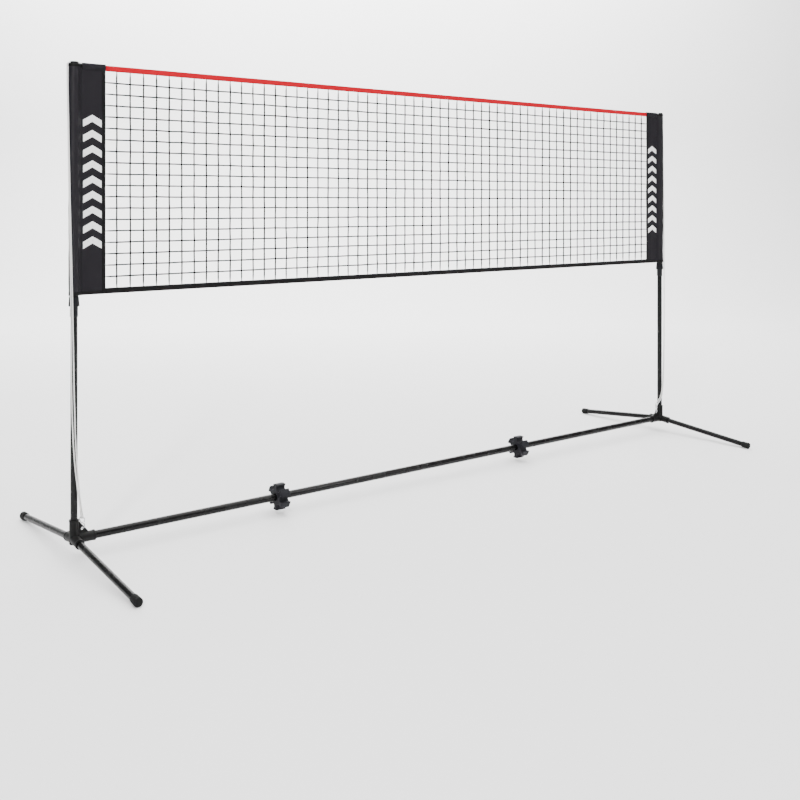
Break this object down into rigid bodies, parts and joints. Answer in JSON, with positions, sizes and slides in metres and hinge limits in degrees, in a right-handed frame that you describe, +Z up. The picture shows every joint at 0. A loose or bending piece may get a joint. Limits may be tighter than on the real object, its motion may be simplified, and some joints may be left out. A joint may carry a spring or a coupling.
{
  "type": "portable badminton net",
  "caption": "Free-standing portable badminton net on telescoping poles with moulded hubs, angled feet, a jointed ground bar and tensioning cords.",
  "frame": {"origin": "on the floor, midway between the two poles", "axes": "+X along the net, +Y to the rear, +Z up"},
  "size_m": [3.0474, 0.9324, 1.55],
  "materials": {
    "hub_plastic": "moulded black plastic, fine satin grain",
    "foot_steel": "black powder coat, satin gloss",
    "foot_rubber": "black rubber, matte",
    "pole_steel": "black powder coat, satin gloss",
    "inner_plastic": "dark grey glide plastic",
    "collet_plastic": "black moulded plastic, satin",
    "collar_plastic": "black moulded plastic, fluted",
    "cap_plastic": "black moulded plastic",
    "sleeve_cloth": "charcoal woven polyester with black binding",
    "hook_steel": "zinc plated bent wire",
    "cord_white": "white braided cord",
    "bar_steel": "black powder coat, satin gloss",
    "spigot_steel": "plain steel joining tube",
    "clip_plastic": "black moulded plastic, matte",
    "red_tape": "bright red woven tape, stitched edges",
    "black_tape": "black woven tape, stitched edges",
    "net_twine": "black knotted nylon twine"
  },
  "bodies": {
    "base": {"bar_spigot_left": "spigot_steel", "bar_spigot_right": "spigot_steel", "foot_cap_front_left": "foot_rubber", "foot_cap_front_right": "foot_rubber", "foot_cap_rear_left": "foot_rubber", "foot_cap_rear_right": "foot_rubber", "foot_front_left": "foot_steel", "foot_front_right": "foot_steel", "foot_rear_left": "foot_steel", "foot_rear_right": "foot_steel", "ground_bar_left": "bar_steel", "ground_bar_middle": "bar_steel", "ground_bar_right": "bar_steel", "hub_left": "hub_plastic", "hub_right": "hub_plastic", "lower_plug_left": "inner_plastic", "lower_plug_right": "inner_plastic", "lower_pole_left": "pole_steel", "lower_pole_right": "pole_steel", "s_hook_left": "hook_steel", "s_hook_right": "hook_steel", "tension_cord_left": "cord_white", "tension_cord_right": "cord_white"},
    "net_assembly": {"bottom_tape": "black_tape", "lock_collet_left": "collet_plastic", "lock_collet_right": "collet_plastic", "net_mesh": "net_twine", "sleeve_left": "sleeve_cloth", "sleeve_right": "sleeve_cloth", "top_cap_left": "cap_plastic", "top_cap_right": "cap_plastic", "top_tape": "red_tape", "upper_pole_left": "pole_steel", "upper_pole_right": "pole_steel"},
    "lock_collar_left": {"lock_collar_left": "collar_plastic"},
    "lock_collar_right": {"lock_collar_right": "collar_plastic"},
    "pole_clip_left": {"pole_clip_left": "clip_plastic"},
    "pole_clip_right": {"pole_clip_right": "clip_plastic"}
  },
  "joints": [
    {"name": "height_adjust", "type": "slide", "parent": "base", "child": "net_assembly", "axis": [0, 0, -1], "range_m": [0, 0.63], "deforming": ["tension_cord_left", "tension_cord_right"]},
    {"name": "lock_left_turn", "type": "hinge", "parent": "net_assembly", "child": "lock_collar_left", "pos_m": [-1.5, 0, 0.801], "axis": [0, 0, 1], "range_deg": [0, 90]},
    {"name": "lock_right_turn", "type": "hinge", "parent": "net_assembly", "child": "lock_collar_right", "pos_m": [1.5, 0, 0.801], "axis": [0, 0, 1], "range_deg": [0, 90]},
    {"name": "clip_left_turn", "type": "hinge", "parent": "base", "child": "pole_clip_left", "pos_m": [-0.731, 0, 0.06], "axis": [1, 0, 0], "continuous": true},
    {"name": "clip_right_turn", "type": "hinge", "parent": "base", "child": "pole_clip_right", "pos_m": [0.503, 0, 0.06], "axis": [1, 0, 0], "continuous": true}
  ]
}
